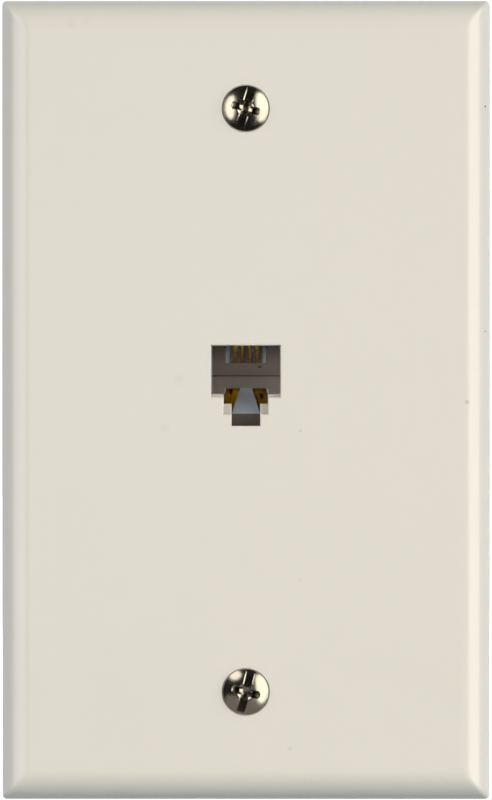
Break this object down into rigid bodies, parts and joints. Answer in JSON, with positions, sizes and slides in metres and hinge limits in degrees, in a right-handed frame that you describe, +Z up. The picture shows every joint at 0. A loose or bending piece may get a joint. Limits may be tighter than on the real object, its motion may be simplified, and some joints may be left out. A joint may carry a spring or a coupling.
{
  "type": "telephone wall socket",
  "caption": "Single-gang telephone wall socket: an almond cover plate with rolled edges, a modular jack with gold contact wires, and a screw-terminal block behind.",
  "frame": {"origin": "centre of the cover plate on the wall plane, level with the back of its rim", "axes": "+Z up, +Y into the wall, +X to the right for someone who faces the plate"},
  "size_m": [0.0698, 0.0264, 0.1142],
  "materials": {
    "almond_plastic": "light almond, softly glossy",
    "grey_plastic": "mid grey, satin",
    "ivory_plastic": "ivory, satin",
    "nickel_plate": "bright nickel plate",
    "zinc_plate": "bright zinc plate",
    "brass": "bright brass",
    "gold_wire": "gold flash",
    "tinned_copper": "tinned",
    "lead_black": "smooth insulation",
    "lead_red": "smooth insulation",
    "lead_green": "smooth insulation",
    "lead_yellow": "smooth insulation"
  },
  "bodies": {
    "root": {"wall_plate": "almond_plastic", "mounting_screw_top": "nickel_plate", "mounting_screw_bottom": "nickel_plate", "jack_housing": "grey_plastic", "wire_retainer": "grey_plastic", "rear_cap": "grey_plastic", "contact_wire_1": "gold_wire", "contact_wire_2": "gold_wire", "contact_wire_3": "gold_wire", "contact_wire_4": "gold_wire", "solder_tab_black": "brass", "solder_tab_red": "brass", "solder_tab_green": "brass", "solder_tab_yellow": "brass", "lead_black": "lead_black", "lead_red": "lead_red", "lead_green": "lead_green", "lead_yellow": "lead_yellow", "terminal_block": "ivory_plastic", "threaded_insert_black": "brass", "threaded_insert_red": "brass", "threaded_insert_green": "brass", "threaded_insert_yellow": "brass", "fork_lug_black": "tinned_copper", "fork_lug_red": "tinned_copper", "fork_lug_green": "tinned_copper", "fork_lug_yellow": "tinned_copper", "terminal_washer_black": "zinc_plate", "terminal_washer_red": "zinc_plate", "terminal_washer_green": "zinc_plate", "terminal_washer_yellow": "zinc_plate", "terminal_screw_black": "zinc_plate", "terminal_screw_red": "zinc_plate", "terminal_screw_green": "zinc_plate", "terminal_screw_yellow": "zinc_plate", "block_screw_left": "zinc_plate", "block_screw_right": "zinc_plate"}
  },
  "joints": []
}
